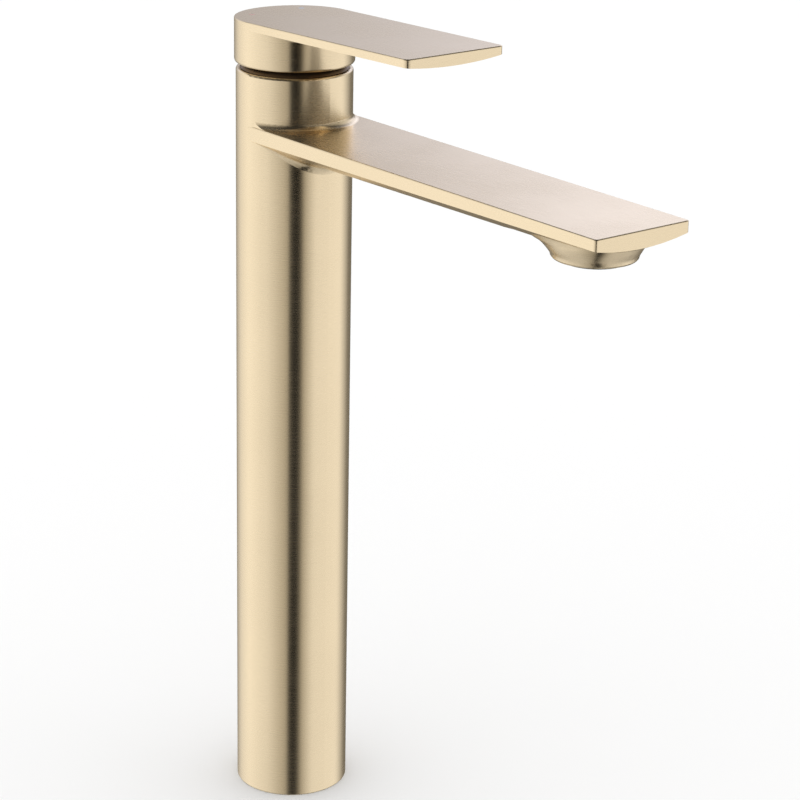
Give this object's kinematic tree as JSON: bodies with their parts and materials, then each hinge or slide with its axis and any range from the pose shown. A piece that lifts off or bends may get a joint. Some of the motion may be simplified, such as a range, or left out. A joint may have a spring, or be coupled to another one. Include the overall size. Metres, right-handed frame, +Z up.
{
  "type": "basin mixer tap",
  "caption": "Tall single-lever basin mixer: round column, flat plate spout with a round outlet boss, and a matching flat lever that lifts and turns above it.",
  "frame": {"origin": "on the column's axis, in the deck plane that the base stands on", "axes": "+Z up the column, +X along the spout and the closed lever, towards the user; hot is on -Y, cold on +Y"},
  "size_m": [0.217, 0.0462, 0.321],
  "materials": {
    "champagne_metal": "brushed",
    "neck_metal": "satin",
    "hot_enamel": "gloss",
    "cold_enamel": "gloss",
    "steel": "satin",
    "white_plastic": "satin",
    "grey_plastic": "satin",
    "red_plastic": "satin",
    "dark_plastic": "satin",
    "disc_ceramic": "gloss",
    "seal_rubber": "matte",
    "raw_brass": "machined",
    "riser_copper": "satin"
  },
  "bodies": {
    "body": {"body": "champagne_metal", "bonnet": "neck_metal", "bonnet_o_ring": "seal_rubber", "retaining_nut": "raw_brass", "cartridge_housing": "grey_plastic", "housing_o_ring": "seal_rubber", "temperature_limit_ring": "red_plastic", "cartridge_base": "grey_plastic", "inlet_seals": "seal_rubber", "disc_gasket": "seal_rubber", "fixed_disc": "disc_ceramic", "hot_riser": "riser_copper", "cold_riser": "riser_copper", "riser_o_rings": "seal_rubber", "hot_inlet_socket": "raw_brass", "cold_inlet_socket": "raw_brass", "mounting_foot": "raw_brass", "base_o_ring": "seal_rubber", "aerator_housing": "dark_plastic", "aerator_screen": "dark_plastic", "aerator_regulator": "white_plastic", "aerator_washer": "seal_rubber"},
    "turret": {"turret": "white_plastic", "pivot_pin": "steel"},
    "handle": {"lever_handle": "champagne_metal", "hot_mark": "hot_enamel", "cold_mark": "cold_enamel", "set_screw": "steel", "screw_cover": "champagne_metal", "stem": "steel"},
    "moving_disc": {"moving_disc": "disc_ceramic", "disc_carrier": "white_plastic"}
  },
  "joints": [
    {"name": "temperature_turn", "type": "hinge", "parent": "body", "child": "turret", "pos_m": [0, 0, 0.281], "axis": [0, 0, 1], "range_deg": [-45, 45]},
    {"name": "lever_lift", "type": "hinge", "parent": "turret", "child": "handle", "pos_m": [0, 0, 0.281], "axis": [0, -1, 0], "range_deg": [0, 25]},
    {"name": "disc_slide", "type": "slide", "parent": "turret", "child": "moving_disc", "axis": [1, 0, 0], "range_m": [0, 0.0043]}
  ],
  "couplings": [
    {"joint": "disc_slide", "follows": "lever_lift", "m_per_rad": 0.009822}
  ]
}
